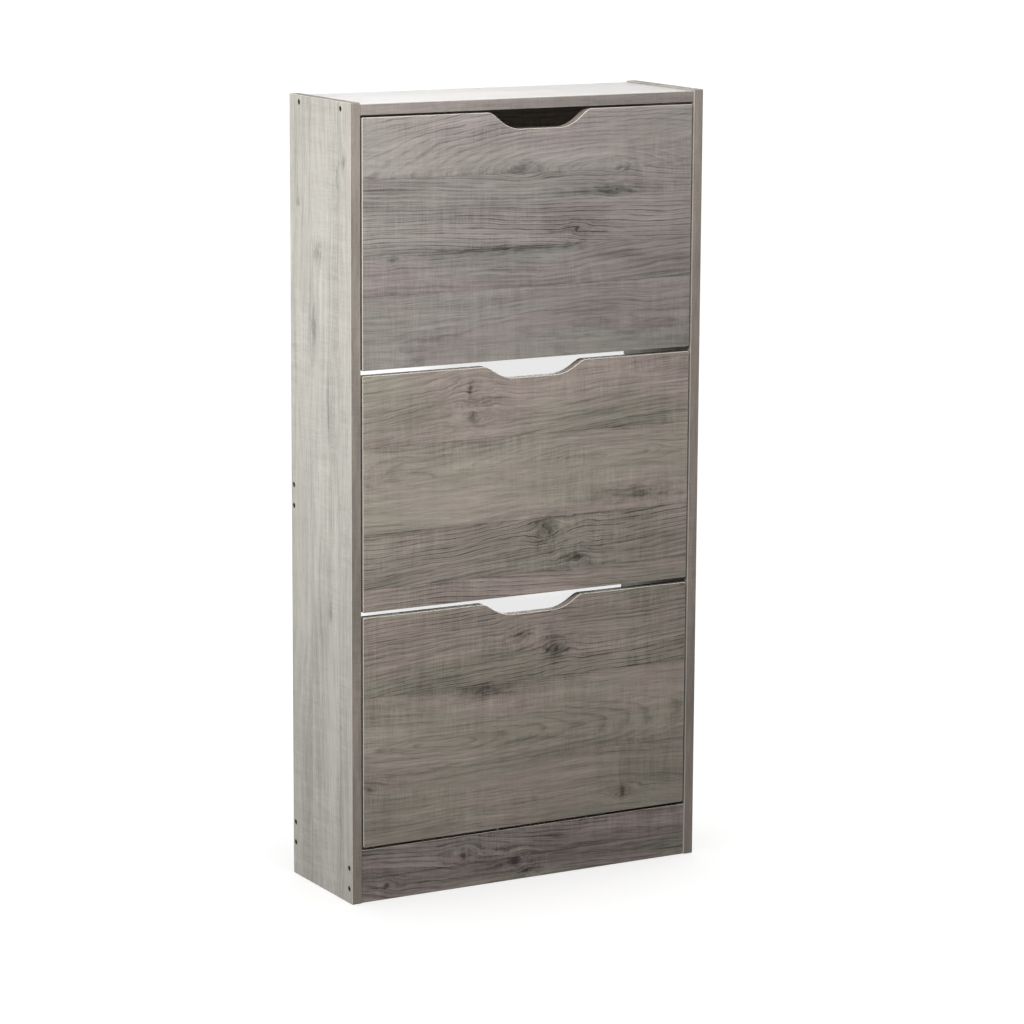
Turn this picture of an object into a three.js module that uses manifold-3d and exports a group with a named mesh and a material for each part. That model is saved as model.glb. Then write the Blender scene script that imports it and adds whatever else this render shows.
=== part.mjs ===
// Shoe cabinet: two side panels, a top board, a plinth and three rear rails carry three tip-out
// flaps, each with a shoe rack behind it. Millimetres, +Z up, front towards -Y.
// Origin: centre of the footprint, on the floor.

import * as THREE from 'three';
import { mergeVertices } from 'three/addons/utils/BufferGeometryUtils.js';
import Module from 'manifold-3d';

const wasm = await Module();
wasm.setup();

// ---- driving dimensions ----
const WIDTH = 600;
const DEPTH = 200;
const HEIGHT = 1200;
const BOARD = 16;
const ARRIS = 0.7;
const CORNER = 1.5;

const TOP_LIP = 2.5;
const TOP_SETBACK = 1.5;
const PLINTH_HEIGHT = 81.5;
const PLINTH_SETBACK = 2.5;
const RAIL_HEIGHT = 80;
const REAR_RAIL_CENTRES = { rear_middle_rail: 594, rear_bottom_rail: 66 };

const SIDE_GAP = 3;
const FLAP_GAP = 8;
const FLAP_FOOT_Z = 86;
// Each flap's finger cut-out has its own depth, and sits a little to the right of the middle.
const FLAPS = [
  { name: 'bottom', height: 352, cutoutDepth: 20, cutoutShift: 8 },
  { name: 'middle', height: 354, cutoutDepth: 20, cutoutShift: 10 },
  { name: 'top', height: 370, cutoutDepth: 26, cutoutShift: 16 },
];
const CUTOUT_TOP_WIDTH = 176;
const CUTOUT_FLAT_WIDTH = 64;
const CUTOUT_TOP_EASE = 13;
const CUTOUT_FOOT_EASE = 32;

const PIVOT_BACK = 22;
const PIVOT_UP = 60;
const OPEN_ANGLE = THREE.MathUtils.degToRad(45);
const PIN_RADIUS = 4;
const PIN_CLEARANCE = 0.1;
const PIN_END_GAP = 1.5;
const PIN_TIP = 1;
const COLLAR_STRAIGHT = 3;
const COLLAR_CONE = 3;
const BUSH_RADIUS = 7;
const BUSH_FLANGE_RADIUS = 10;
const BUSH_FLANGE = 1.4;
const BUSH_DEPTH = 10;

const RACK_DEPTH = 148;
const RACK_FOOT = 18;
const RACK_FRONT_TOP_DROP = 66;
const RACK_BACK_TOP = 172;
const CHEEK_INSET = 17;
const CHEEK = 3;
const FLANGE_WIDTH = 12;
const PANEL = 3;
const DIVIDER_HEIGHT = 96;
const CHEEK_ROUND = 12;
const FIT_GAP = 0.3;
const CUT_PAST = 1;

const STOP_RADIUS = 4;
const STOP_LENGTH = 12;
const STOP_CHAMFER = 1;
const STOP_STEPS = 16;
const STOP_REACH = 50;
const CLOSING_STOP_DROP = 40;

const SCREW_HEAD_RADIUS = 4;
const SCREW_HEAD = 3;
const SCREW_RADIUS = 2.5;
const SCREW_LENGTH = 48;
const SCREW_POINT = 4;
const SCREW_HEAD_RIM = 1;
const SCREW_SOCKET_FLATS = 3.6;
const SCREW_SOCKET_DEPTH = 2.4;
const SCREW_SUNK = 0.4;
const SCREW_SPACING = 32;
const TOP_SCREW_INSET = 32;
const PLINTH_SCREW_CENTRE = 38.5;

const WALL_HOLE_RADIUS = 3;
const WALL_HOLE_SPACING = 400;
const ROUND_STEPS = 20;
const CUTOUT_STEPS = 18;
const SCREW_STEPS = 12;

// ---- places worked out from them ----
const FRONT = -DEPTH / 2;
const BACK = DEPTH / 2;
const INNER = WIDTH / 2 - BOARD;
const TOP_UNDERSIDE = HEIGHT - TOP_LIP - BOARD;
const FLAP_WIDTH = 2 * (INNER - SIDE_GAP);
const CHEEK_OUTER = INNER - CHEEK_INSET;
const CHEEK_INNER = CHEEK_OUTER - CHEEK;
const RACK_FRONT = FRONT + BOARD;
const PIVOT_Y = FRONT + PIVOT_BACK;

// ---- materials ----
const decorAcross = new THREE.MeshStandardMaterial({ color: 0x8c8680, roughness: 0.6 });
const decorUpright = new THREE.MeshStandardMaterial({ color: 0x9a958d, roughness: 0.6 });
const decorTop = new THREE.MeshStandardMaterial({ color: 0xb5b0a8, roughness: 0.55 });
const railBoard = new THREE.MeshStandardMaterial({ color: 0x7d766e, roughness: 0.65 });
const mouldedPlastic = new THREE.MeshStandardMaterial({ color: 0x4a4845, roughness: 0.5 });
const hardboard = new THREE.MeshStandardMaterial({ color: 0x8a847b, roughness: 0.75 });
const steel = new THREE.MeshStandardMaterial({ color: 0x4b4338, roughness: 0.4, metalness: 0.9 });
const rubber = new THREE.MeshStandardMaterial({ color: 0x3b3937, roughness: 0.8 });

// ---- solids: joining and cutting ----
// A turned shape has triangles of no width where it meets its axis: these are dropped.
function wholeTriangles(index) {
  const kept = [];
  for (let start = 0; start < index.length; start += 3) {
    const [a, b, c] = index.slice(start, start + 3);
    if (a !== b && b !== c && c !== a) kept.push(a, b, c);
  }
  return kept;
}

function toSolid(geometry) {
  const bare = geometry.clone();
  bare.deleteAttribute('normal');
  bare.deleteAttribute('uv');
  const merged = mergeVertices(bare, 1e-4);
  return new wasm.Manifold(new wasm.Mesh({
    numProp: 3,
    vertProperties: new Float32Array(merged.attributes.position.array),
    triVerts: new Uint32Array(wholeTriangles(merged.index.array)),
  }));
}

function toGeometry(solid) {
  const mesh = solid.getMesh();
  const geometry = new THREE.BufferGeometry();
  geometry.setAttribute('position', new THREE.BufferAttribute(new Float32Array(mesh.vertProperties), 3));
  geometry.setIndex(new THREE.BufferAttribute(new Uint32Array(mesh.triVerts), 1));
  geometry.computeVertexNormals();
  return geometry;
}

function cutAway(geometry, cutters) {
  const body = toSolid(geometry);
  return toGeometry(cutters.reduce((solid, cutter) => solid.subtract(toSolid(cutter)), body));
}

function joinUp(pieces) {
  const [first, ...rest] = pieces.map(toSolid);
  return toGeometry(rest.reduce((solid, piece) => solid.add(piece), first));
}

// ---- basic shapes ----
function roundedRectangle(width, height, radius) {
  const shape = new THREE.Shape();
  shape.moveTo(radius, 0);
  shape.lineTo(width - radius, 0);
  shape.absarc(width - radius, radius, radius, -Math.PI / 2, 0);
  shape.lineTo(width, height - radius);
  shape.absarc(width - radius, height - radius, radius, 0, Math.PI / 2);
  shape.lineTo(radius, height);
  shape.absarc(radius, height - radius, radius, Math.PI / 2, Math.PI);
  shape.lineTo(0, radius);
  shape.absarc(radius, radius, radius, Math.PI, Math.PI * 1.5);
  return shape;
}

// An outline made a board: its long edges are softened like banded edges.
function boardFrom(shape, thickness, curveSegments = 2) {
  const geometry = new THREE.ExtrudeGeometry(shape, {
    depth: thickness - 2 * ARRIS,
    bevelEnabled: true,
    bevelThickness: ARRIS,
    bevelSize: ARRIS,
    bevelOffset: -ARRIS,
    bevelSegments: 2,
    curveSegments,
  });
  return geometry.translate(0, 0, ARRIS);
}

function block(low, high) {
  const size = high.map((value, axis) => value - low[axis]);
  const centre = high.map((value, axis) => (value + low[axis]) / 2);
  return new THREE.BoxGeometry(...size).translate(...centre);
}

// A turned profile of [radius, along] pairs, with its axis along +X.
function turnedAlongX(profile, steps = ROUND_STEPS) {
  const points = profile.map(([radius, along]) => new THREE.Vector2(radius, along));
  return new THREE.LatheGeometry(points, steps).rotateZ(-Math.PI / 2);
}

// side is -1 for the left and 1 for the right; what is drawn on the right is turned for the left.
function toSide(geometry, side) {
  return side < 0 ? geometry.rotateZ(Math.PI) : geometry;
}

function place(name, geometry, material, x, y, z) {
  const mesh = new THREE.Mesh(geometry, material);
  mesh.name = name;
  mesh.position.set(x, y, z);
  return mesh;
}

const SIDES = { left: -1, right: 1 };

// ---- screws ----
// Every screw runs inwards through a side panel into the end of a board.
function screwPlaces() {
  const places = [];
  const pair = (name, y, centre) => {
    places.push({ name: `${name}_lower`, y, z: centre - SCREW_SPACING / 2 });
    places.push({ name: `${name}_upper`, y, z: centre + SCREW_SPACING / 2 });
  };
  const topZ = TOP_UNDERSIDE + BOARD / 2;
  pair('plinth', FRONT + PLINTH_SETBACK + BOARD / 2, PLINTH_SCREW_CENTRE);
  for (const [name, centre] of Object.entries(REAR_RAIL_CENTRES)) {
    pair(name, BACK - BOARD / 2, centre);
  }
  places.push({ name: 'top_board_front', y: FRONT + TOP_SCREW_INSET, z: topZ });
  places.push({ name: 'top_board_rear', y: BACK - TOP_SCREW_INSET, z: topZ });
  return places;
}

// Profile from the tip to the head, along +X towards the outside of the right panel.
function screwProfile(grow) {
  const head = WIDTH / 2 - SCREW_SUNK;
  const tip = head - SCREW_LENGTH;
  const mouth = grow > 0 ? WIDTH / 2 + CUT_PAST : head;
  return [
    [0, tip - 2 * grow],
    [SCREW_RADIUS * 0.5 + grow, tip - 2 * grow],
    [SCREW_RADIUS + grow, tip + SCREW_POINT],
    [SCREW_RADIUS + grow, head - SCREW_HEAD],
    [SCREW_HEAD_RADIUS + grow, head - SCREW_HEAD_RIM],
    [SCREW_HEAD_RADIUS + grow, mouth],
    [0, mouth],
  ];
}

function screwGeometry() {
  const socketRadius = SCREW_SOCKET_FLATS / Math.sqrt(3);
  const socket = new THREE.CylinderGeometry(socketRadius, socketRadius, 2 * SCREW_SOCKET_DEPTH, 6);
  socket.rotateZ(Math.PI / 2).translate(WIDTH / 2 - SCREW_SUNK, 0, 0);
  return cutAway(turnedAlongX(screwProfile(0), SCREW_STEPS), [socket]);
}

function screwHole(place, side) {
  const hole = turnedAlongX(screwProfile(FIT_GAP), SCREW_STEPS);
  return toSide(hole, side).translate(0, place.y, place.z);
}

function screws() {
  const group = new THREE.Group();
  for (const [word, side] of Object.entries(SIDES)) {
    for (const spot of screwPlaces()) {
      const geometry = toSide(screwGeometry(), side);
      group.add(place(`screw_${spot.name}_${word}`, geometry, steel, 0, spot.y, spot.z));
    }
  }
  return group;
}

// ---- carcass ----
function pivotHeights() {
  let foot = FLAP_FOOT_Z;
  return FLAPS.map((flap) => {
    const level = { ...flap, foot, pivot: foot + PIVOT_UP };
    foot += flap.height + FLAP_GAP;
    return level;
  });
}

function bushHole(level, side) {
  const depth = INNER + BUSH_DEPTH + FIT_GAP;
  const radius = BUSH_RADIUS + FIT_GAP;
  const mouth = INNER - CUT_PAST;
  const hole = turnedAlongX([[0, mouth], [radius, mouth], [radius, depth], [0, depth]]);
  return toSide(hole, side).translate(0, PIVOT_Y, level.pivot);
}

function sidePanel(word, side) {
  const outline = roundedRectangle(DEPTH, HEIGHT, CORNER);
  const board = boardFrom(outline, BOARD);
  board.rotateX(Math.PI / 2).rotateZ(Math.PI / 2);
  board.translate(side < 0 ? -WIDTH / 2 : INNER, FRONT, 0);
  const holes = screwPlaces().map((spot) => screwHole(spot, side));
  const bushes = pivotHeights().map((level) => bushHole(level, side));
  return place(`side_panel_${word}`, cutAway(board, [...holes, ...bushes]), decorUpright, 0, 0, 0);
}

// A board between the side panels, standing on edge, with the screw holes in its ends.
function crossBoard(name, y, bottom, height, material, extraCuts = []) {
  const board = boardFrom(roundedRectangle(2 * INNER, height, CORNER), BOARD);
  board.rotateX(Math.PI / 2).translate(-INNER, y + BOARD, bottom);
  const spots = screwPlaces().filter((spot) => spot.name.startsWith(name));
  const holes = spots.flatMap((spot) => [screwHole(spot, -1), screwHole(spot, 1)]);
  return place(name, cutAway(board, [...holes, ...extraCuts]), material, 0, 0, 0);
}

function topBoard() {
  const board = boardFrom(roundedRectangle(2 * INNER, DEPTH - TOP_SETBACK, CORNER), BOARD);
  board.translate(-INNER, FRONT + TOP_SETBACK, TOP_UNDERSIDE);
  const spots = screwPlaces().filter((spot) => spot.name.startsWith('top_board'));
  const holes = spots.flatMap((spot) => [screwHole(spot, -1), screwHole(spot, 1)]);
  return place('top_board', cutAway(board, holes), decorTop, 0, 0, 0);
}

function wallHoles() {
  const z = TOP_UNDERSIDE - RAIL_HEIGHT / 2;
  return [-1, 1].map((side) => {
    const hole = new THREE.CylinderGeometry(WALL_HOLE_RADIUS, WALL_HOLE_RADIUS, 3 * BOARD, ROUND_STEPS);
    return hole.translate(side * WALL_HOLE_SPACING / 2, BACK - BOARD / 2, z);
  });
}

function pivotBush(level, word, side) {
  const bore = PIN_RADIUS * (1 + 1 / (ROUND_STEPS * 3)) + PIN_CLEARANCE;
  const flange = INNER - BUSH_FLANGE;
  const profile = [
    [bore, flange],
    [BUSH_FLANGE_RADIUS, flange],
    [BUSH_FLANGE_RADIUS, INNER],
    [BUSH_RADIUS, INNER],
    [BUSH_RADIUS, INNER + BUSH_DEPTH],
    [bore, INNER + BUSH_DEPTH],
    [bore, flange],
  ];
  const name = `${level.name}_pivot_bush_${word}`;
  return place(name, toSide(turnedAlongX(profile), side), mouldedPlastic, 0, PIVOT_Y, level.pivot);
}

function stopPeg(name, y, z, side) {
  const end = INNER - STOP_LENGTH;
  const profile = [[0, end], [STOP_RADIUS - STOP_CHAMFER, end], [STOP_RADIUS, end + STOP_CHAMFER],
    [STOP_RADIUS, INNER], [0, INNER]];
  return place(name, toSide(turnedAlongX(profile, STOP_STEPS), side), rubber, 0, y, z);
}

// The flap's back face, turned to its open angle, comes to rest on the opening stop.
function openingStop(level, word, side) {
  const off = BOARD - PIVOT_BACK + STOP_RADIUS + FIT_GAP;
  const y = PIVOT_Y + off * Math.cos(OPEN_ANGLE) + STOP_REACH * Math.sin(OPEN_ANGLE);
  const z = level.pivot + off * Math.sin(OPEN_ANGLE) - STOP_REACH * Math.cos(OPEN_ANGLE);
  return stopPeg(`${level.name}_opening_stop_${word}`, y, z, side);
}

function closingStop(level, word, side) {
  const y = RACK_FRONT + STOP_RADIUS + FIT_GAP;
  const z = level.foot + level.height - CLOSING_STOP_DROP;
  return stopPeg(`${level.name}_closing_stop_${word}`, y, z, side);
}

function carcass() {
  const group = new THREE.Group();
  group.add(topBoard());
  group.add(crossBoard('plinth', FRONT + PLINTH_SETBACK, 0, PLINTH_HEIGHT, decorAcross));
  const railY = BACK - BOARD;
  const topRailFoot = TOP_UNDERSIDE - RAIL_HEIGHT;
  group.add(crossBoard('rear_top_rail', railY, topRailFoot, RAIL_HEIGHT, railBoard, wallHoles()));
  for (const [name, centre] of Object.entries(REAR_RAIL_CENTRES)) {
    group.add(crossBoard(name, railY, centre - RAIL_HEIGHT / 2, RAIL_HEIGHT, railBoard));
  }
  for (const [word, side] of Object.entries(SIDES)) {
    group.add(sidePanel(word, side));
    for (const level of pivotHeights()) {
      group.add(pivotBush(level, word, side));
      group.add(openingStop(level, word, side));
      group.add(closingStop(level, word, side));
    }
  }
  return group;
}

// ---- flaps ----
// The outline is drawn in the front view. The finger cut-out's sides are S-curves, tight at the lip
// and wide at the foot.
function flapOutline({ height, cutoutDepth, cutoutShift }) {
  const half = FLAP_WIDTH / 2;
  const leftLip = cutoutShift - CUTOUT_TOP_WIDTH / 2;
  const rightLip = cutoutShift + CUTOUT_TOP_WIDTH / 2;
  const leftFlat = cutoutShift - CUTOUT_FLAT_WIDTH / 2;
  const rightFlat = cutoutShift + CUTOUT_FLAT_WIDTH / 2;
  const foot = height - cutoutDepth;
  const shape = new THREE.Shape();
  shape.moveTo(-half + CORNER, 0);
  shape.lineTo(half - CORNER, 0);
  shape.lineTo(half, CORNER);
  shape.lineTo(half, height - CORNER);
  shape.lineTo(half - CORNER, height);
  shape.lineTo(rightLip, height);
  shape.bezierCurveTo(rightLip - CUTOUT_TOP_EASE, height,
    rightFlat + CUTOUT_FOOT_EASE, foot, rightFlat, foot);
  shape.lineTo(leftFlat, foot);
  shape.bezierCurveTo(leftFlat - CUTOUT_FOOT_EASE, foot,
    leftLip + CUTOUT_TOP_EASE, height, leftLip, height);
  shape.lineTo(-half + CORNER, height);
  shape.lineTo(-half, height - CORNER);
  shape.lineTo(-half, CORNER);
  return shape;
}

function flapBoard(level) {
  const board = boardFrom(flapOutline(level), BOARD, CUTOUT_STEPS);
  board.rotateX(Math.PI / 2);
  return place(`flap_${level.name}`, board, decorAcross, 0, RACK_FRONT, level.foot);
}

// ---- shoe racks ----
// The cheek's side view, y behind the flap and z above its foot: square foot, leaning top edge.
function cheekOutline(level) {
  const frontTop = level.height - RACK_FRONT_TOP_DROP;
  const shape = new THREE.Shape();
  const round = CHEEK_ROUND;
  shape.moveTo(FIT_GAP, RACK_FOOT - PANEL);
  shape.lineTo(RACK_DEPTH - round, RACK_FOOT - PANEL);
  shape.absarc(RACK_DEPTH - round, RACK_FOOT - PANEL + round, round, -Math.PI / 2, 0);
  shape.lineTo(RACK_DEPTH, RACK_BACK_TOP - round);
  shape.quadraticCurveTo(RACK_DEPTH, RACK_BACK_TOP, RACK_DEPTH - round * 1.6, RACK_BACK_TOP + round * 0.9);
  shape.lineTo(round * 2, frontTop - round);
  shape.quadraticCurveTo(round * 1.4, frontTop, round * 0.7, frontTop);
  shape.lineTo(FIT_GAP, frontTop);
  return shape;
}

function cheekGeometry(level) {
  const plate = new THREE.ExtrudeGeometry(cheekOutline(level), { depth: CHEEK, bevelEnabled: false,
    curveSegments: 6 });
  plate.rotateX(Math.PI / 2).rotateZ(Math.PI / 2).translate(CHEEK_INNER, RACK_FRONT, 0);
  const inner = CHEEK_INNER - FLANGE_WIDTH;
  const bite = CHEEK_INNER + CHEEK / 2;
  const backOuter = RACK_FRONT + RACK_DEPTH;
  const frontTop = level.height - RACK_FRONT_TOP_DROP;
  const frontFlange = block([inner, RACK_FRONT + FIT_GAP, RACK_FOOT + 2 * PANEL],
    [bite, RACK_FRONT + FIT_GAP + CHEEK, frontTop - PANEL]);
  const footFlange = block([inner, RACK_FRONT + FIT_GAP, RACK_FOOT - PANEL],
    [bite, backOuter - 2 * FLANGE_WIDTH, RACK_FOOT]);
  const backFlange = block([inner, backOuter - PANEL, RACK_FOOT + FLANGE_WIDTH],
    [bite, backOuter, RACK_BACK_TOP - 2 * FLANGE_WIDTH]);
  const collarRadius = PIVOT_BACK - BOARD - 2 * FIT_GAP;
  const shoulder = CHEEK_OUTER + COLLAR_STRAIGHT;
  const collar = turnedAlongX([[0, bite], [collarRadius, bite], [collarRadius, shoulder],
    [PIN_RADIUS, shoulder + COLLAR_CONE], [0, shoulder + COLLAR_CONE]]);
  collar.translate(0, PIVOT_Y, PIVOT_UP);
  const pinEnd = INNER + BUSH_DEPTH - PIN_END_GAP;
  const pin = turnedAlongX([[0, bite], [PIN_RADIUS, bite], [PIN_RADIUS, pinEnd - PIN_TIP],
    [PIN_RADIUS - PIN_TIP, pinEnd], [0, pinEnd]]);
  pin.translate(0, PIVOT_Y, PIVOT_UP);
  return joinUp([plate, frontFlange, footFlange, backFlange, collar, pin]);
}

function cheek(level, word, side) {
  const geometry = cheekGeometry(level);
  const solid = side < 0 ? mirrored(geometry) : geometry;
  return place(`${level.name}_rack_cheek_${word}`, solid, mouldedPlastic, 0, 0, level.foot);
}

// Left for right: x changes sign and every triangle is wound the other way.
function mirrored(geometry) {
  const copy = geometry.clone().scale(-1, 1, 1);
  const index = copy.index.array;
  for (let corner = 0; corner < index.length; corner += 3) {
    [index[corner], index[corner + 1]] = [index[corner + 1], index[corner]];
  }
  copy.computeVertexNormals();
  return copy;
}

function rackPanel(name, level, y, z, depth, height) {
  const half = CHEEK_INNER - FIT_GAP;
  const low = [-half, RACK_FRONT + y, z];
  const high = [half, RACK_FRONT + y + depth, z + height];
  return place(`${level.name}_${name}`, block(low, high), hardboard, 0, 0, level.foot);
}

function rack(level) {
  const group = new THREE.Group();
  for (const [word, side] of Object.entries(SIDES)) {
    group.add(cheek(level, word, side));
  }
  const floorZ = RACK_FOOT + FIT_GAP;
  const aboveFloor = floorZ + PANEL + FIT_GAP;
  const backY = RACK_DEPTH - 2 * PANEL - FIT_GAP;
  const floorDepth = backY + PANEL - FIT_GAP - 2 * CHEEK;
  group.add(rackPanel('rack_floor', level, FIT_GAP, floorZ, floorDepth, PANEL));
  const backHeight = RACK_BACK_TOP - FLANGE_WIDTH - aboveFloor;
  group.add(rackPanel('rack_back', level, backY, aboveFloor, PANEL, backHeight));
  group.add(rackPanel('rack_divider', level, backY / 2, aboveFloor, PANEL, DIVIDER_HEIGHT));
  return group;
}

const cabinet = new THREE.Group();
cabinet.add(carcass());
for (const level of pivotHeights()) {
  cabinet.add(flapBoard(level));
  cabinet.add(rack(level));
}
cabinet.add(screws());

export default cabinet;
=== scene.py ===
"""Looks for the slim shoe cabinet: decor-faced boards, flaps with shoe racks, screws and stops."""
import math
from collections import namedtuple

import bmesh
import bpy
from mathutils import Euler, Matrix, Vector


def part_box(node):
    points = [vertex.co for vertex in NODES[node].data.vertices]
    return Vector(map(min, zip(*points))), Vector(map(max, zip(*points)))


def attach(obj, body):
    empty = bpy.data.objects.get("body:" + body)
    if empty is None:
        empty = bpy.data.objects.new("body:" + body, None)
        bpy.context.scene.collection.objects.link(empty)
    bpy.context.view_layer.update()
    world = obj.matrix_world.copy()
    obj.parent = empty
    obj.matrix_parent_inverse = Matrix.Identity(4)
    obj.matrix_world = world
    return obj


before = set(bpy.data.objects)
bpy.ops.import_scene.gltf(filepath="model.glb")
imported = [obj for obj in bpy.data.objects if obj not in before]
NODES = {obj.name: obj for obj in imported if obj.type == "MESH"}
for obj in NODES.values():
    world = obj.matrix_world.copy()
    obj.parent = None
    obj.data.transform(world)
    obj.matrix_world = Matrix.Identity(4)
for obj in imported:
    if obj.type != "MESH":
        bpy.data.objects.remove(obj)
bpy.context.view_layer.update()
LEVELS = ("bottom", "middle", "top")
SIDES = ("left", "right")
MM = 0.001

# ---- camera, lights and floor ----
CAMERA_PLACE = (-2.758, -4.957, 1.642)
CAMERA_YAW = 29.33
CAMERA_PITCH = 10.83
CAMERA_ROLL = 0.30
FOCAL_IN_FRAMES = 3766 / 1024
SENSOR = 36.0
FAR_CLIP = 200

WARM_LIGHT = (1.0, 0.965, 0.965)
PALE_LIGHT = (1.0, 0.99, 0.97)
LIGHT_TARGET = (0, 0, 0.8)
# A square studio light: its place, the length of its side, its power in watts and its colour.
Softbox = namedtuple("Softbox", "name place size power colour")
SOFTBOXES = (
    Softbox("softbox_front", (-1.2, -1.5, 2.4), 1.3, 71, WARM_LIGHT),
    Softbox("window_left", (-1.8, 0.2, 0.9), 1.2, 31, (0.97, 0.99, 1.0)),
    Softbox("fill_low", (-2.6, -1.8, 1.8), 1.3, 8, WARM_LIGHT),
    Softbox("floor_bounce", (-0.5, -1.7, 0.05), 1.4, 1.2, (1.0, 0.98, 0.95)),
    Softbox("softbox_above", (-0.2, 0.1, 3.0), 1.5, 8, (1.0, 1.0, 1.0)),
    Softbox("fill_right", (2.2, 0.8, 0.9), 1.1, 22, PALE_LIGHT),
    Softbox("fill_behind", (1.8, 2.6, 0.95), 1.5, 48, PALE_LIGHT))
LOW_SUN_HEADING = CAMERA_YAW + 1
LOW_SUN_HEIGHT = 11
LOW_SUN_POWER = 5.4
LOW_SUN_WIDTH = 1.5
HIGH_SUN_POWER = 2.0
HIGH_SUN_WIDTH = 40
GLOW_COLOUR = (1.0, 0.97, 0.96, 1)
GLOW_STRENGTH = 0.045
WHITE = (1, 1, 1)

FLOOR_HALF_SIZE = 40
FLOOR_COLOUR = (0.8, 0.8, 0.8, 1)
FLOOR_GLOW = 0.26


def make_camera():
    data = bpy.data.cameras.new("camera")
    data.sensor_width = SENSOR
    data.lens = FOCAL_IN_FRAMES * SENSOR
    data.clip_end = FAR_CLIP
    camera = bpy.data.objects.new("camera", data)
    bpy.context.scene.collection.objects.link(camera)
    look = Euler((math.radians(90 - CAMERA_PITCH), 0, math.radians(-CAMERA_YAW))).to_matrix()
    roll = Matrix.Rotation(math.radians(CAMERA_ROLL), 3, "Z")
    camera.matrix_world = Matrix.Translation(CAMERA_PLACE) @ (look @ roll).to_4x4()
    bpy.context.scene.camera = camera


def add_light(name, kind, place, target, power, colour, lit):
    """A light aimed at a point, with the collection that says what it lights."""
    data = bpy.data.lights.new(name, kind)
    data.energy = power
    data.color = colour
    light = bpy.data.objects.new(name, data)
    light.location = place
    light.rotation_euler = (Vector(target) - Vector(place)).to_track_quat("-Z", "Y").to_euler()
    light.light_linking.receiver_collection = lit
    light.visible_camera = False
    bpy.context.scene.collection.objects.link(light)
    return data


def make_lights(floor):
    """Studio lights for the cabinet, and two suns that only the floor takes."""
    floor_only = bpy.data.collections.new("floor_only")
    floor_only.objects.link(floor)
    not_floor = bpy.data.collections.new("not_floor")
    not_floor.objects.link(floor)
    for entry in not_floor.collection_objects:
        entry.light_linking.link_state = "EXCLUDE"
    for softbox in SOFTBOXES:
        data = add_light(softbox.name, "AREA", softbox.place, LIGHT_TARGET, softbox.power, softbox.colour,
                         not_floor)
        data.shape = "SQUARE"
        data.size = softbox.size
    heading = math.radians(LOW_SUN_HEADING)
    low_place = (-math.sin(heading), -math.cos(heading), math.tan(math.radians(LOW_SUN_HEIGHT)))
    low_sun = add_light("floor_sun_low", "SUN", low_place, (0, 0, 0), LOW_SUN_POWER, WHITE, floor_only)
    low_sun.angle = math.radians(LOW_SUN_WIDTH)
    high_sun = add_light("floor_sun_high", "SUN", (0, 0, 1), (0, 0, 0), HIGH_SUN_POWER, WHITE, floor_only)
    high_sun.angle = math.radians(HIGH_SUN_WIDTH)
    make_world()


def make_world():
    """A dim warm glow that lights the cabinet, seen directly as the white of the floor."""
    world = bpy.data.worlds.new("studio")
    world.use_nodes = True
    tree = world.node_tree
    glow = tree.nodes["Background"]
    glow.inputs["Color"].default_value = GLOW_COLOUR
    glow.inputs["Strength"].default_value = GLOW_STRENGTH
    backdrop = tree.nodes.new("ShaderNodeBackground")
    backdrop.inputs["Color"].default_value = (1, 1, 1, 1)
    seen = tree.nodes.new("ShaderNodeLightPath").outputs["Is Camera Ray"]
    mix = tree.nodes.new("ShaderNodeMixShader")
    for socket, value in zip(mix.inputs, (seen, glow.outputs[0], backdrop.outputs[0])):
        tree.links.new(value, socket)
    tree.links.new(mix.outputs[0], tree.nodes["World Output"].inputs["Surface"])
    bpy.context.scene.world = world
    bpy.context.scene.view_settings.view_transform = "Standard"


def make_floor():
    mesh = bpy.data.meshes.new("floor")
    shape = bmesh.new()
    bmesh.ops.create_grid(shape, x_segments=1, y_segments=1, size=FLOOR_HALF_SIZE)
    shape.to_mesh(mesh)
    shape.free()
    floor = bpy.data.objects.new("floor", mesh)
    bpy.context.scene.collection.objects.link(floor)
    floor.visible_diffuse = False
    floor.visible_glossy = False
    material = bpy.data.materials.new("pale_floor")
    material.use_nodes = True
    surface = material.node_tree.nodes["Principled BSDF"]
    surface.inputs["Base Color"].default_value = FLOOR_COLOUR
    surface.inputs["Roughness"].default_value = 1.0
    surface.inputs["Specular IOR Level"].default_value = 0.0
    surface.inputs["Emission Color"].default_value = (1, 1, 1, 1)
    surface.inputs["Emission Strength"].default_value = FLOOR_GLOW
    floor.data.materials.append(material)
    return floor


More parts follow.
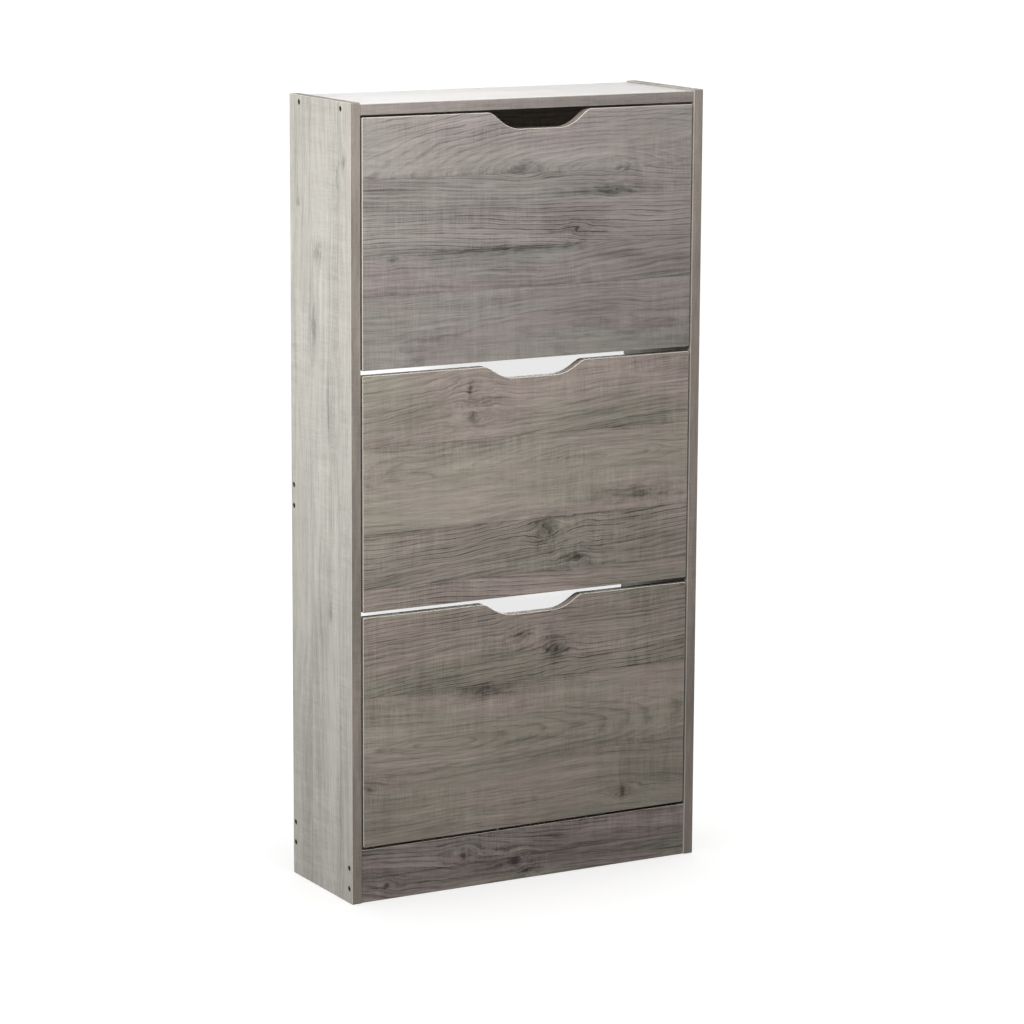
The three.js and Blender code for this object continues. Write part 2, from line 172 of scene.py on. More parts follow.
# ---- shader graphs ----
class Graph:
    """Adds nodes to one tree, taking plain values or other nodes' outputs as inputs."""

    def __init__(self, tree):
        self.tree = tree

    def node(self, kind, inputs=None, **settings):
        node = self.tree.nodes.new(kind)
        for key, value in settings.items():
            setattr(node, key, value)
        for key, value in (inputs or {}).items():
            self.feed(node.inputs[key], value)
        return node

    def feed(self, socket, value):
        if isinstance(value, bpy.types.NodeSocket):
            self.tree.links.new(value, socket)
        else:
            socket.default_value = value

    def math(self, operation, *values, clamp=False):
        inputs = dict(enumerate(values))
        return self.node("ShaderNodeMath", inputs, operation=operation, use_clamp=clamp).outputs[0]

    def total(self, *values):
        result = values[0]
        for value in values[1:]:
            result = self.math("ADD", result, value)
        return result

    def vector_math(self, operation, *values):
        return self.node("ShaderNodeVectorMath", dict(enumerate(values)), operation=operation).outputs[0]

    def mapped(self, vector, location=(0, 0, 0), rotation=(0, 0, 0), scale=(1, 1, 1)):
        inputs = {"Vector": vector, "Location": location, "Rotation": rotation, "Scale": scale}
        return self.node("ShaderNodeMapping", inputs).outputs[0]

    def noise(self, vector, scale, detail=2.0, roughness=0.5, offset=0.0, distortion=0.0):
        """Noise around zero; scale is in cycles per metre along and across the grain."""
        place = self.mapped(vector, (offset, 2.3 * offset, -1.7 * offset), scale=scale)
        inputs = {"Vector": place, "Scale": 1.0, "Detail": detail, "Roughness": roughness,
                  "Distortion": distortion}
        value = self.node("ShaderNodeTexNoise", inputs).outputs["Fac"]
        return self.math("SUBTRACT", value, 0.5)

    def span(self, value, low, high, to_low=0.0, to_high=1.0):
        inputs = {"Value": value, "From Min": low, "From Max": high, "To Min": to_low, "To Max": to_high}
        return self.node("ShaderNodeMapRange", inputs, interpolation_type="SMOOTHSTEP").outputs[0]

    def blend(self, factor, first, second):
        node = self.node("ShaderNodeMix", data_type="RGBA")
        for index, value in ((0, factor), (6, first), (7, second)):
            self.feed(node.inputs[index], value)
        return node.outputs[2]

    def scaled(self, colour, factor):
        node = self.node("ShaderNodeVectorMath", {0: colour}, operation="SCALE")
        self.feed(node.inputs["Scale"], factor)
        return node.outputs[0]


def make_group(name, inputs, outputs):
    """A new node group; returns its graph, its inputs and a way to set its outputs."""
    tree = bpy.data.node_groups.new(name, "ShaderNodeTree")
    kinds = {"float": "NodeSocketFloat", "vector": "NodeSocketVector", "colour": "NodeSocketColor"}
    for socket, kind in inputs.items():
        tree.interface.new_socket(socket, in_out="INPUT", socket_type=kinds[kind])
    for socket, kind in outputs.items():
        tree.interface.new_socket(socket, in_out="OUTPUT", socket_type=kinds[kind])
    graph = Graph(tree)
    return graph, graph.node("NodeGroupInput").outputs, graph.node("NodeGroupOutput").inputs


def use_group(graph, tree, inputs):
    node = graph.node("ShaderNodeGroup", node_tree=tree)
    for key, value in inputs.items():
        graph.feed(node.inputs[key], value)
    return node.outputs


# Sizes in the decor, in metres: the spacing of its growth rings, and the width of a glue line and its shade.
COARSE_RING = 0.0066
FINE_RING = 0.0034
GLUE_LINE = 0.0014
GLUE_SHADE = 0.013


def knot_group():
    """One knot: how it turns the growth rings aside, how near it is, and its dark heart."""
    graph, given, out = make_group(
        "knot", {"Vector": "vector", "Centre": "vector", "Half Size": "vector", "Spread": "float"},
        {"Bend": "float", "Near": "float", "Heart": "float"})
    away = graph.vector_math("SUBTRACT", given["Vector"], given["Centre"])
    rise = graph.node("ShaderNodeSeparateXYZ", {0: away}).outputs["Y"]
    flat = graph.vector_math("MULTIPLY", away, (0.5, 1.0, 0.0))
    square = graph.node("ShaderNodeVectorMath", {0: flat, 1: flat}, operation="DOT_PRODUCT").outputs["Value"]
    spread = graph.math("MULTIPLY", given["Spread"], given["Spread"])
    push = graph.math("DIVIDE", spread, graph.math("ADD", square, graph.math("MULTIPLY", spread, 0.6)))
    graph.feed(out["Bend"], graph.math("MULTIPLY", graph.math("MULTIPLY", rise, push), -0.62))
    fading = graph.math("DIVIDE", square, graph.math("MULTIPLY", spread, -5))
    graph.feed(out["Near"], graph.math("EXPONENT", fading))
    shape = graph.vector_math("DIVIDE", graph.vector_math("MULTIPLY", away, (1, 1, 0)), given["Half Size"])
    reach = graph.node("ShaderNodeVectorMath", {0: shape}, operation="LENGTH").outputs["Value"]
    ragged = graph.noise(given["Vector"], (50, 95, 20), 4, 0.65)
    reach = graph.math("ADD", reach, graph.math("MULTIPLY", ragged, 2.6))
    heart = graph.math("MULTIPLY", graph.math("MULTIPLY", reach, graph.math("ABSOLUTE", reach)), -1.3)
    graph.feed(out["Heart"], graph.math("MINIMUM", graph.math("EXPONENT", heart), 1.0))
    return graph.tree


def ring_lines(graph, field, place, spacing, offset, low, high, steady):
    """Thin dark lines where a growth ring ends, in patches and where they are steady."""
    phase = graph.math("FRACT", graph.math("DIVIDE", field, spacing))
    rise = graph.span(phase, 0.35, 0.90)
    fall = graph.span(phase, 0.90, 1.0, 1.0, 0.0)
    line = graph.math("MULTIPLY", graph.math("POWER", rise, 2.2), fall)
    patch = graph.span(graph.noise(place, (2.6, 15, 15), 2, offset=offset), low, high)
    patch = graph.math("MAXIMUM", patch, steady)
    return graph.math("MULTIPLY", line, patch)


DECOR_INPUTS = {
    "Vector": "vector", "Seed": "float", "Bend": "float", "Near": "float", "Heart": "float", "Tilt": "float",
    "Arch Centre": "vector", "Arch Scale": "float", "Arch": "float", "Rings": "float", "Shade": "float",
    "Glue": "float", "Warm": "colour", "Cool": "colour", "Contrast": "float"}


def decor_group():
    """Rustic wood decor. Vector is along the grain, across it and through the board, in metres."""
    graph, given, out = make_group("wood_decor", DECOR_INPUTS, {"Color": "colour", "Height": "float"})
    axes = graph.node("ShaderNodeSeparateXYZ", {0: given["Vector"]}).outputs
    along, across = axes["X"], axes["Y"]
    deep = graph.math("ADD", axes["Z"], given["Seed"])
    near = graph.math("MINIMUM", given["Near"], 1.0)
    place = graph.node("ShaderNodeCombineXYZ", {"X": along, "Y": across, "Z": deep}).outputs[0]

    sway = graph.noise(place, (1.6, 4.5, 4.5), 2, offset=3.1)
    ripple = graph.noise(place, (9, 26, 26), 3, 0.55, offset=7.7)
    wander = graph.noise(place, (0.6, 30, 30), 1, offset=4.4)
    unrest = graph.math("ADD", 0.010, graph.math("MULTIPLY", near, 0.032))
    straight = graph.total(
        across, graph.math("MULTIPLY", along, given["Tilt"]), graph.math("MULTIPLY", sway, 0.075),
        graph.math("MULTIPLY", ripple, unrest), graph.math("MULTIPLY", wander, 0.008), given["Bend"])
    from_arch = graph.vector_math("SUBTRACT", given["Vector"], given["Arch Centre"])
    squeeze = graph.node("ShaderNodeCombineXYZ", {"X": given["Arch Scale"], "Y": 1.0}).outputs[0]
    from_arch = graph.vector_math("MULTIPLY", from_arch, squeeze)
    arched = graph.node("ShaderNodeVectorMath", {0: from_arch}, operation="LENGTH").outputs["Value"]
    arched = graph.total(arched, graph.math("MULTIPLY", sway, 0.030), graph.math("MULTIPLY", ripple, 0.016))
    to_arch = graph.math("MULTIPLY", graph.math("SUBTRACT", arched, straight), given["Arch"])
    field = graph.math("ADD", straight, to_arch)
    flowing = graph.node("ShaderNodeCombineXYZ", {"X": along, "Y": straight, "Z": deep}).outputs[0]
    ringed = graph.node("ShaderNodeCombineXYZ", {"X": along, "Y": field, "Z": deep}).outputs[0]

    steady = graph.math("MULTIPLY", graph.math("SUBTRACT", given["Rings"], 1.0), 1.8, clamp=True)
    steady = graph.math("MAXIMUM", steady, graph.math("MULTIPLY", near, 0.9))
    coarse = ring_lines(graph, field, place, COARSE_RING, 11.0, -0.09, 0.05, steady)
    fine = ring_lines(graph, field, place, FINE_RING, 17.0, -0.06, 0.10, steady)
    broken = graph.span(graph.noise(flowing, (22, 120, 120), 2, offset=5.0), -0.16, 0.04, 0.3, 1.0)
    broken = graph.math("MULTIPLY", broken, given["Rings"])
    coarse = graph.math("MULTIPLY", coarse, broken)
    fine = graph.math("MULTIPLY", fine, broken)
    season = graph.noise(ringed, (0.8, 95, 95), 2, 0.6, offset=2.0)
    fibre = graph.noise(flowing, (26, 560, 560), 4, 0.65, offset=1.0)
    streak = graph.noise(flowing, (5, 130, 130), 4, 0.62, offset=9.0)
    pores = graph.span(graph.noise(flowing, (75, 900, 900), 2, 0.6, offset=41.0), 0.10, 0.22)
    cloud = graph.noise(place, (6, 20, 20), 3, offset=21.0)
    burl = graph.noise(place, (55, 75, 75), 4, 0.7, offset=51.0, distortion=1.6)
    burl = graph.math("MULTIPLY", burl, near)
    saw = graph.noise(place, (420, 30, 30), 3, 0.6, offset=23.0)
    saw_band = graph.noise(place, (70, 5, 5), 2, offset=29.0)
    saw_patch = graph.span(graph.noise(place, (4, 14, 14), 2, offset=31.0), -0.10, 0.12, 0.3, 1.0)
    saw = graph.math("MULTIPLY", graph.total(saw, graph.math("MULTIPLY", saw_band, 0.7)), saw_patch)
    joint = graph.span(given["Glue"], 0.0, GLUE_LINE, 1.0, 0.0)
    beside_joint = graph.span(given["Glue"], 0.0, GLUE_SHADE, 1.0, 0.0)
    stain = graph.span(graph.noise(place, (3.2, 17, 17), 3, offset=61.0), 0.0, 0.22)
    parts = ((fibre, 1.05), (streak, 0.90), (pores, -0.18), (season, 0.42), (cloud, 0.46), (saw, 0.68),
             (coarse, -0.33), (fine, -0.24), (burl, 0.75), (stain, -0.20), (joint, -0.20),
             (beside_joint, -0.10), (given["Heart"], -0.52))
    change = graph.total(*(graph.math("MULTIPLY", value, weight) for value, weight in parts))
    level = graph.total(1.07, given["Shade"], graph.math("MULTIPLY", change, given["Contrast"]))
    level = graph.math("MAXIMUM", level, 0.2)
    tint = graph.span(graph.noise(place, (3.4, 11, 11), 3, offset=37.0), -0.14, 0.14)
    tint = graph.math("ADD", tint, graph.math("MULTIPLY", given["Heart"], 0.5), clamp=True)
    colour = graph.blend(tint, given["Warm"], given["Cool"])
    graph.feed(out["Color"], graph.scaled(colour, level))
    height = graph.total(graph.math("MULTIPLY", fibre, 0.9), graph.math("MULTIPLY", saw, 0.35),
                         graph.math("MULTIPLY", coarse, -0.5), graph.math("MULTIPLY", fine, -0.3),
                         graph.math("MULTIPLY", pores, -0.4))
    graph.feed(out["Height"], height)
    return graph.tree


def start_material(name):
    material = bpy.data.materials.new(name)
    material.use_nodes = True
    graph = Graph(material.node_tree)
    surface = material.node_tree.nodes["Principled BSDF"]
    where = graph.node("ShaderNodeTexCoord").outputs
    return material, graph, surface, where


def bumped(graph, surface, height, strength, depth):
    inputs = {"Height": height, "Strength": strength, "Distance": depth}
    graph.feed(surface.inputs["Normal"], graph.node("ShaderNodeBump", inputs).outputs[0])


# How object coordinates turn to grain coordinates: along, across, through.
ALONG_X_UPRIGHT = (-math.pi / 2, 0, 0)
ALONG_X_FLAT = (0, 0, 0)
ALONG_Z = (0, math.pi / 2, 0)

WARM = (0.390, 0.330, 0.308, 1)
COOL = (0.346, 0.325, 0.278, 1)
FLAP_COLOURS = {"top": ((0.374, 0.334, 0.318, 1), (0.344, 0.333, 0.300, 1)),
                "middle": ((0.389, 0.333, 0.300, 1), (0.346, 0.325, 0.272, 1)),
                "bottom": ((0.388, 0.330, 0.293, 1), (0.342, 0.320, 0.264, 1))}
FLAP_CONTRAST = {"top": 0.76, "middle": 1.02, "bottom": 0.97}
SIDE_WARM = (0.345, 0.331, 0.298, 1)
SIDE_COOL = (0.320, 0.311, 0.276, 1)
BAND = ((0.330, 0.289, 0.256, 1), (0.300, 0.272, 0.236, 1))
TOP_BAND = ((0.308, 0.278, 0.260, 1), (0.284, 0.264, 0.242, 1))
FLAP_BAND = ((0.235, 0.212, 0.186, 1), (0.215, 0.198, 0.172, 1))
# Painted highlight: a pale colour on the rounded arrises, standing in for the light they catch.
ARRIS_HIGHLIGHT = (0.76, 0.73, 0.64, 1)
TOP_COLOURS = ((0.80, 0.80, 0.79, 1), (0.76, 0.76, 0.74, 1))
TOP_CONTRAST = 0.12
PLINTH_CONTRAST = 1.1
SIDE_CONTRAST = 0.68
BAND_CONTRAST = 0.7
# How far the painted arris highlight covers the arrises, on most boards and on the flaps.
ARRIS_HIGHLIGHT_AMOUNT = 0.35
FLAP_ARRIS_HIGHLIGHT_AMOUNT = 0.95
# How squarely a surface faces along a board's thickness: over the first it is a wide face, and between the
# two it is the rounded arris.
FACE_ON = 0.98
EDGE_ON = 0.1

# A plank of the decor: its upper edge across the grain, the slope of its rings, the centre of its arched
# rings (along, across), their squeeze along the grain and how far they take over, how strong its ring lines
# are, and its shade.
Plank = namedtuple("Plank", "top tilt arch_centre arch_scale arch rings shade")
# A knot: along and across the grain, half sizes of its dark heart, and the reach of the turned rings.
Knot = namedtuple("Knot", "along across half_along half_across spread")
PLAIN = (Plank(9.0, 0.0, (0, 0), 0.1, 0.0, 0.8, 0.0),)


def plank_inputs(graph, place, planks, seed):
    """Values that hold within one plank and change at the glue lines, and how far the nearest line is."""
    across = graph.node("ShaderNodeSeparateXYZ", {0: place}).outputs["Y"]
    below = [graph.math("LESS_THAN", across, plank.top) for plank in planks[1:]]

    def pick(values):
        result = values[0]
        for step, value, before in zip(below, values[1:], values):
            result = graph.math("ADD", result, graph.math("MULTIPLY", step, value - before))
        return result

    glue = 1.0
    for plank in planks[1:]:
        gap = graph.math("ABSOLUTE", graph.math("SUBTRACT", across, plank.top))
        glue = graph.math("MINIMUM", glue, gap)
    centre = graph.node("ShaderNodeCombineXYZ", {"X": pick([plank.arch_centre[0] for plank in planks]),
                                                 "Y": pick([plank.arch_centre[1] for plank in planks])})
    return {"Seed": pick([seed + 1.37 * number for number in range(len(planks))]),
            "Tilt": pick([plank.tilt for plank in planks]), "Arch Centre": centre.outputs[0],
            "Arch Scale": pick([plank.arch_scale for plank in planks]),
            "Arch": pick([plank.arch for plank in planks]), "Rings": pick([plank.rings for plank in planks]),
            "Shade": pick([plank.shade for plank in planks]), "Glue": glue}


def board_material(name, turn, thin_axis, seed, planks=PLAIN, knots=(), colours=(WARM, COOL), contrast=1.0,
                   band_colours=BAND, arris_highlight_amount=ARRIS_HIGHLIGHT_AMOUNT):
    """Decor on the wide faces, a plainer band on the edges, and a painted highlight, a paler line, on the
    arrises.
    """
    material, graph, surface, where = start_material(name)
    place = graph.mapped(where["Object"], rotation=turn)
    decor = {"Vector": place, "Warm": colours[0], "Cool": colours[1], "Contrast": contrast}
    decor.update(plank_inputs(graph, place, planks, seed))
    gathered = {"Bend": [], "Near": [], "Heart": []}
    for knot in knots:
        inputs = {"Vector": place, "Centre": (knot.along, knot.across, 0), "Spread": knot.spread,
                  "Half Size": (knot.half_along, knot.half_across, 1)}
        found = use_group(graph, KNOT, inputs)
        for key, values in gathered.items():
            values.append(found[key])
    if knots:
        decor.update({key: graph.total(*values) for key, values in gathered.items()})
    face = use_group(graph, DECOR, decor)
    band_inputs = {"Vector": place, "Seed": seed, "Warm": band_colours[0], "Cool": band_colours[1],
                   "Contrast": BAND_CONTRAST, "Glue": 1.0}
    band = use_group(graph, DECOR, band_inputs)
    facing = graph.node("ShaderNodeSeparateXYZ", {0: where["Normal"]}).outputs[thin_axis]
    facing = graph.math("ABSOLUTE", facing)
    on_face = graph.math("GREATER_THAN", facing, FACE_ON)
    off_edge = graph.math("GREATER_THAN", facing, EDGE_ON)
    arris = graph.math("MULTIPLY", off_edge, graph.math("LESS_THAN", facing, FACE_ON))
    colour = graph.blend(on_face, band["Color"], face["Color"])
    # Painted highlight: the arrises are blended towards the pale arris colour.
    colour = graph.blend(graph.math("MULTIPLY", arris, arris_highlight_amount), colour, ARRIS_HIGHLIGHT)
    graph.feed(surface.inputs["Base Color"], colour)
    rough = graph.math("ADD", 0.52, graph.math("MULTIPLY", face["Height"], -0.25))
    graph.feed(surface.inputs["Roughness"], rough)
    surface.inputs["Specular IOR Level"].default_value = 0.38
    bumped(graph, surface, face["Height"], 0.35, 0.0006)
    return material


def plastic_material():
    material, graph, surface, where = start_material("moulded_plastic")
    grain = graph.noise(where["Object"], (1500, 1500, 1500), 2)
    cloud = graph.noise(where["Object"], (9, 9, 9), 3)
    level = graph.math("ADD", 1.0, graph.math("MULTIPLY", cloud, 0.25))
    graph.feed(surface.inputs["Base Color"], graph.scaled((0.052, 0.050, 0.048), level))
    graph.feed(surface.inputs["Roughness"], graph.math("ADD", 0.46, graph.math("MULTIPLY", cloud, 0.3)))
    bumped(graph, surface, grain, 0.3, 0.0002)
    return material


def hardboard_material():
    """Lacquered hardboard: pressed fibres that lie every way, with darker specks."""
    material, graph, surface, where = start_material("lacquered_hardboard")
    fleck = graph.noise(where["Object"], (190, 190, 190), 5, 0.72, distortion=1.2)
    strand = graph.noise(where["Object"], (60, 420, 420), 3, 0.6, distortion=2.0)
    cloud = graph.noise(where["Object"], (5, 5, 9), 3)
    speck = graph.span(graph.noise(where["Object"], (520, 520, 520), 2, offset=3.0), 0.17, 0.24)
    change = graph.total(graph.math("MULTIPLY", fleck, 0.9), graph.math("MULTIPLY", strand, 0.5),
                         graph.math("MULTIPLY", cloud, 0.7), graph.math("MULTIPLY", speck, -0.35))
    graph.feed(surface.inputs["Base Color"],
               graph.scaled((0.285, 0.245, 0.200), graph.math("ADD", 1.0, change)))
    graph.feed(surface.inputs["Roughness"], graph.math("ADD", 0.55, graph.math("MULTIPLY", fleck, 0.5)))
    bumped(graph, surface, graph.math("ADD", fleck, strand), 0.5, 0.0003)
    return material


def steel_material():
    material, graph, surface, where = start_material("burnished_screw_steel")
    scuff = graph.noise(where["Object"], (700, 700, 700), 3, 0.6)
    level = graph.math("ADD", 1.0, graph.math("MULTIPLY", scuff, 0.8))
    graph.feed(surface.inputs["Base Color"], graph.scaled((0.16, 0.13, 0.10), level))
    surface.inputs["Metallic"].default_value = 0.9
    graph.feed(surface.inputs["Roughness"], graph.math("ADD", 0.42, graph.math("MULTIPLY", scuff, 0.5)))
    bumped(graph, surface, scuff, 0.25, 0.0001)
    return material


def rubber_material():
    material, graph, surface, where = start_material("stop_rubber")
    grain = graph.noise(where["Object"], (900, 900, 900), 3, 0.7)
    level = graph.math("ADD", 1.0, graph.math("MULTIPLY", grain, 0.6))
    graph.feed(surface.inputs["Base Color"], graph.scaled((0.035, 0.034, 0.033), level))
    surface.inputs["Roughness"].default_value = 0.82
    bumped(graph, surface, grain, 0.4, 0.0002)
    return material


# ---- finishes on the CAD nodes ----
def finish_node(name, material):
    node = NODES[name]
    node.data.materials.clear()
    node.data.materials.append(material)


FLAP_PLANKS = {
    "top": (Plank(9.0, -0.06, (0.12, 1.088), 0.22, 0.9, 1.2, 0.04),
            Plank(1.087, 0.03, (0, 0), 0.1, 0.0, 1.5, -0.04),
            Plank(0.977, -0.02, (0, 0), 0.1, 0.0, 1.2, -0.13),
            Plank(0.917, 0.01, (0.1, 0.86), 0.1, 0.6, 0.9, -0.11)),
    "middle": (Plank(9.0, -0.03, (0, 0), 0.1, 0.0, 0.9, 0.03),
               Plank(0.692, 0.0, (0.10, 0.650), 0.11, 1.0, 0.8, 0.12),
               Plank(0.563, -0.05, (0, 0), 0.1, 0.0, 1.4, -0.01),
               Plank(0.480, 0.02, (0, 0), 0.1, 0.0, 1.3, 0.0)),
    "bottom": (Plank(9.0, -0.06, (0, 0), 0.1, 0.0, 1.4, -0.01),
               Plank(0.315, 0.0, (-0.15, 0.232), 0.12, 1.0, 0.9, 0.07),
               Plank(0.191, 0.03, (0, 0), 0.1, 0.0, 0.8, -0.02)),
}
FLAP_KNOTS = {
    "top": (Knot(-0.011, 1.094, 0.028, 0.009, 0.008), Knot(0.154, 1.086, 0.009, 0.004, 0.007),
            Knot(0.145, 1.056, 0.065, 0.009, 0.007), Knot(0.078, 0.999, 0.055, 0.014, 0.005),
            Knot(-0.040, 0.975, 0.130, 0.007, 0.003), Knot(-0.232, 0.969, 0.007, 0.005, 0.006)),
    "middle": (Knot(-0.102, 0.769, 0.005, 0.013, 0.016), Knot(-0.098, 0.725, 0.010, 0.008, 0.012),
               Knot(0.195, 0.588, 0.090, 0.013, 0.005), Knot(0.030, 0.545, 0.022, 0.026, 0.018),
               Knot(0.084, 0.497, 0.017, 0.008, 0.012)),
    "bottom": (Knot(-0.009, 0.385, 0.018, 0.007, 0.013), Knot(0.049, 0.354, 0.020, 0.016, 0.013),
               Knot(-0.070, 0.303, 0.065, 0.011, 0.004), Knot(0.170, 0.117, 0.005, 0.012, 0.013),
               Knot(-0.272, 0.174, 0.008, 0.006, 0.008)),
}
PLINTH_PLANKS = (Plank(9.0, 0.04, (0, 0), 0.1, 0.0, 1.2, -0.20),
                 Plank(0.036, 0.02, (0, 0), 0.1, 0.0, 0.9, -0.24))
PLINTH_KNOTS = (Knot(-0.020, 0.030, 0.010, 0.009, 0.010), Knot(0.0, 0.012, 0.013, 0.004, 0.006),
                Knot(-0.110, 0.052, 0.006, 0.008, 0.010), Knot(-0.240, 0.022, 0.005, 0.005, 0.007))
SIDE_PLANKS = (Plank(9.0, 0.02, (0, 0), 0.1, 0.0, 0.6, 0.0), Plank(0.032, -0.01, (0, 0), 0.1, 0.0, 0.5, 0.03),
               Plank(-0.060, 0.0, (0, 0), 0.1, 0.0, 0.6, -0.01))
SIDE_KNOTS = (Knot(1.114, -0.078, 0.012, 0.006, 0.007), Knot(1.088, -0.056, 0.014, 0.003, 0.006),
              Knot(1.040, 0.071, 0.006, 0.007, 0.007), Knot(0.972, 0.008, 0.020, 0.014, 0.010),
              Knot(0.860, 0.022, 0.025, 0.007, 0.008), Knot(0.750, -0.026, 0.045, 0.002, 0.004),
              Knot(0.440, -0.030, 0.020, 0.006, 0.008))


def finish_boards():
    for number, level in enumerate(LEVELS):
        finish_node(f"flap_{level}",
                    board_material(f"flap_{level}_decor", ALONG_X_UPRIGHT, "Y", 3.7 + 5.3 * number,
                                   FLAP_PLANKS[level], FLAP_KNOTS[level], FLAP_COLOURS[level],
                                   FLAP_CONTRAST[level], FLAP_BAND, FLAP_ARRIS_HIGHLIGHT_AMOUNT))
    finish_node("plinth", board_material("plinth_decor", ALONG_X_UPRIGHT, "Y", 21.0, PLINTH_PLANKS,
                                         PLINTH_KNOTS, contrast=PLINTH_CONTRAST))
    for number, name in enumerate(("rear_top_rail", "rear_middle_rail", "rear_bottom_rail")):
        finish_node(name, board_material(f"{name}_decor", ALONG_X_UPRIGHT, "Y", 26.0 + 2.9 * number))
    finish_node("top_board", board_material("top_board_decor", ALONG_X_FLAT, "Z", 36.0,
                                            colours=TOP_COLOURS, contrast=TOP_CONTRAST,
                                            band_colours=TOP_BAND))
    for number, side in enumerate(SIDES):
        finish_node(f"side_panel_{side}",
                    board_material(f"side_panel_{side}_decor", ALONG_Z, "X", 41.0 + 6.1 * number,
                                   SIDE_PLANKS, SIDE_KNOTS, (SIDE_WARM, SIDE_COOL), SIDE_CONTRAST))


def finish_fittings(steel, plastic):
    hardboard = hardboard_material()
    rubber = rubber_material()
    for name in NODES:
        if name.startswith("screw_"):
            finish_node(name, steel)
        elif "_stop_" in name:
            finish_node(name, rubber)
        elif "_cheek_" in name or "_bush_" in name:
            finish_node(name, plastic)
        elif "_rack_" in name:
            finish_node(name, hardboard)


# ---- fittings modelled on top of the CAD nodes ----
CHEEK_FACE = 267 * MM
RIB_WIDTH = 2.2 * MM
RIB_HEIGHT = 2.4 * MM
RIB_ROUND = 0.6 * MM
RIB_INSET = 9 * MM
RIB_FRONT_GAP = 5 * MM
RIB_BACK_TOP = 148 * MM
RIB_FRONT_DROP = 2.4 * RIB_INSET
FLANGE_MIDDLE = 258 * MM
FLANGE_THICK = 3 * MM
SCREW_HEAD_RADIUS = 3.8 * MM
SCREW_HEAD_HEIGHT = 2.4 * MM
HEAD_TAPER = 0.94
HEAD_ROUND = 0.7 * MM
HEAD_SIDES = 24
RECESS_RADIUS = 2.1 * MM
RECESS_DEPTH = 1.3 * MM
RECESS_LOBE = 0.9
RECESS_WAIST = 0.42
RECESS_FOOT = 0.5
SCREW_SHARES = (0.14, 0.5, 0.9)


def add_piece(name, shape, body, material):
    mesh = bpy.data.meshes.new(name)
    bmesh.ops.recalc_face_normals(shape, faces=shape.faces)
    shape.to_mesh(mesh)
    shape.free()
    piece = bpy.data.objects.new(name, mesh)
    bpy.context.scene.collection.objects.link(piece)
    mesh.materials.append(material)
    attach(piece, body)


def round_over(shape, edges, width, segments):
    bmesh.ops.bevel(shape, geom=edges, affect="EDGES", offset=width, segments=segments, profile=0.5,
                    material=-1, clamp_overlap=True)


def pan_head(shape, place):
    """A pan-head screw head facing +Y, with a cross recess."""
    turn = Matrix.Rotation(-math.pi / 2, 4, "X")
    made = bmesh.ops.create_cone(shape, cap_ends=True, segments=HEAD_SIDES, radius1=SCREW_HEAD_RADIUS,
                                 radius2=SCREW_HEAD_RADIUS * HEAD_TAPER, depth=SCREW_HEAD_HEIGHT,
                                 matrix=Matrix.Translation(place) @ turn)
    verts = set(made["verts"])
    outer = place[1] + SCREW_HEAD_HEIGHT / 2
    faces = {face for vert in verts for face in vert.link_faces}
    top = next(face for face in faces if face.normal.y > 0.9)
    inner = bmesh.ops.inset_region(shape, faces=[top],
                                   thickness=SCREW_HEAD_RADIUS * HEAD_TAPER - RECESS_RADIUS)
    rim = [edge for face in inner["faces"] for edge in face.edges
           if all(vert not in top.verts for vert in edge.verts)]
    for vert in top.verts:
        away = Vector((vert.co.x - place[0], 0, vert.co.z - place[2]))
        lobe = abs(math.cos(2 * math.atan2(away.z, away.x)))
        reach = 1.0 if lobe > RECESS_LOBE else RECESS_WAIST
        vert.co.x = place[0] + away.x * reach
        vert.co.z = place[2] + away.z * reach
    sunk = bmesh.ops.extrude_discrete_faces(shape, faces=[top])["faces"][0]
    bmesh.ops.translate(shape, verts=sunk.verts, vec=(0, -RECESS_DEPTH, 0))
    bmesh.ops.scale(shape, verts=sunk.verts, vec=(RECESS_FOOT, 1, RECESS_FOOT),
                    space=Matrix.Translation((-place[0], 0, -place[2])))
    outer_rim = [edge for edge in set(rim) if edge.is_valid
                 and all(abs(vert.co.y - outer) < 0.1 * MM for vert in edge.verts)]
    round_over(shape, outer_rim, HEAD_ROUND, 3)


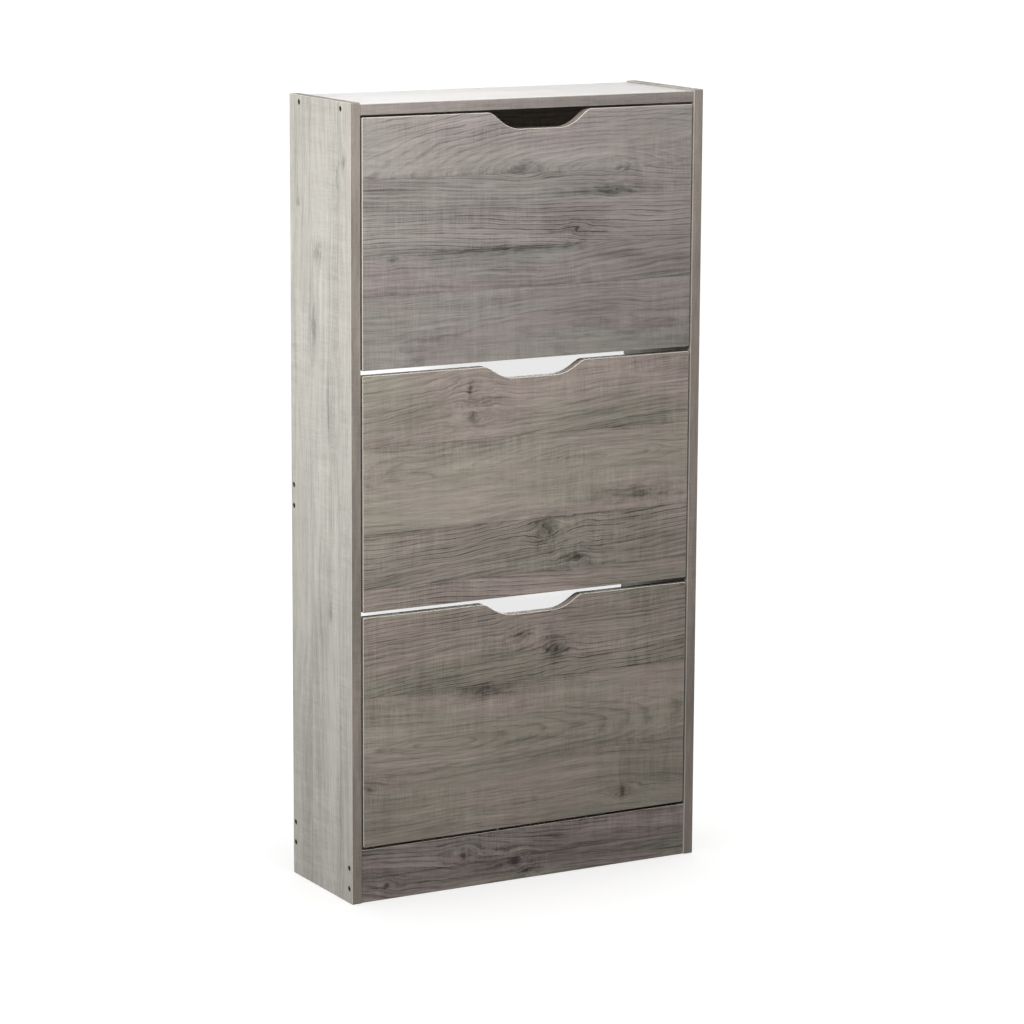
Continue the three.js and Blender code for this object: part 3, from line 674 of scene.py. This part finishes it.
def rack_screws(level, steel):
    """Three screws through each cheek's front flange into the back of the flap."""
    shape = bmesh.new()
    low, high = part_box(f"{level}_rack_cheek_right")
    seat = low[1] + FLANGE_THICK + SCREW_HEAD_HEIGHT / 2
    for side in (-1, 1):
        for share in SCREW_SHARES:
            pan_head(shape, (side * FLANGE_MIDDLE, seat, low[2] + share * (high[2] - low[2])))
    add_piece(f"{level}_rack_screws", shape, f"flap_{level}_unit", steel)


def rib(shape, start, end, face, side):
    """A moulded rib on the outer face of a cheek, between two points given as (y, z)."""
    across, up = end[0] - start[0], end[1] - start[1]
    length = math.hypot(across, up)
    middle = (face + side * RIB_HEIGHT / 2, (start[0] + end[0]) / 2, (start[1] + end[1]) / 2)
    matrix = (Matrix.Translation(middle) @ Matrix.Rotation(math.atan2(up, across), 4, "X")
              @ Matrix.Diagonal((RIB_HEIGHT, length, RIB_WIDTH, 1)))
    verts = bmesh.ops.create_cube(shape, size=1, matrix=matrix)["verts"]
    edges = {edge for vert in verts for edge in vert.link_edges
             if all(abs(end_vert.co.x - face) > RIB_HEIGHT / 2 for end_vert in edge.verts)}
    round_over(shape, list(edges), RIB_ROUND, 2)


def cheek_ribs(level, word, side, plastic):
    low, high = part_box(f"{level}_rack_cheek_{word}")
    front = low[1] + RIB_FRONT_GAP + RIB_INSET
    back = high[1] - RIB_INSET
    foot = low[2] + RIB_INSET
    front_top = high[2] - RIB_FRONT_DROP
    back_top = low[2] + RIB_BACK_TOP
    corners = ((front, foot), (back, foot), (back, back_top), (front, front_top))
    shape = bmesh.new()
    face = side * CHEEK_FACE
    for start, end in zip(corners, corners[1:] + corners[:1]):
        rib(shape, start, end, face, side)
    middle = (front + back) / 2
    middle_top = (back_top + front_top) / 2
    rib(shape, (middle, foot), (middle, middle_top), face, side)
    rib(shape, (front, foot), (middle, middle_top), face, side)
    rib(shape, (middle, foot), (back, back_top), face, side)
    add_piece(f"{level}_rack_cheek_ribs_{word}", shape, f"flap_{level}_unit", plastic)


def make_fittings(steel, plastic):
    for level in LEVELS:
        rack_screws(level, steel)
        for word, side in zip(SIDES, (-1, 1)):
            cheek_ribs(level, word, side, plastic)


make_camera()
make_lights(make_floor())
KNOT = knot_group()
DECOR = decor_group()
finish_boards()
PLASTIC = plastic_material()
STEEL = steel_material()
finish_fittings(STEEL, PLASTIC)
make_fittings(STEEL, PLASTIC)
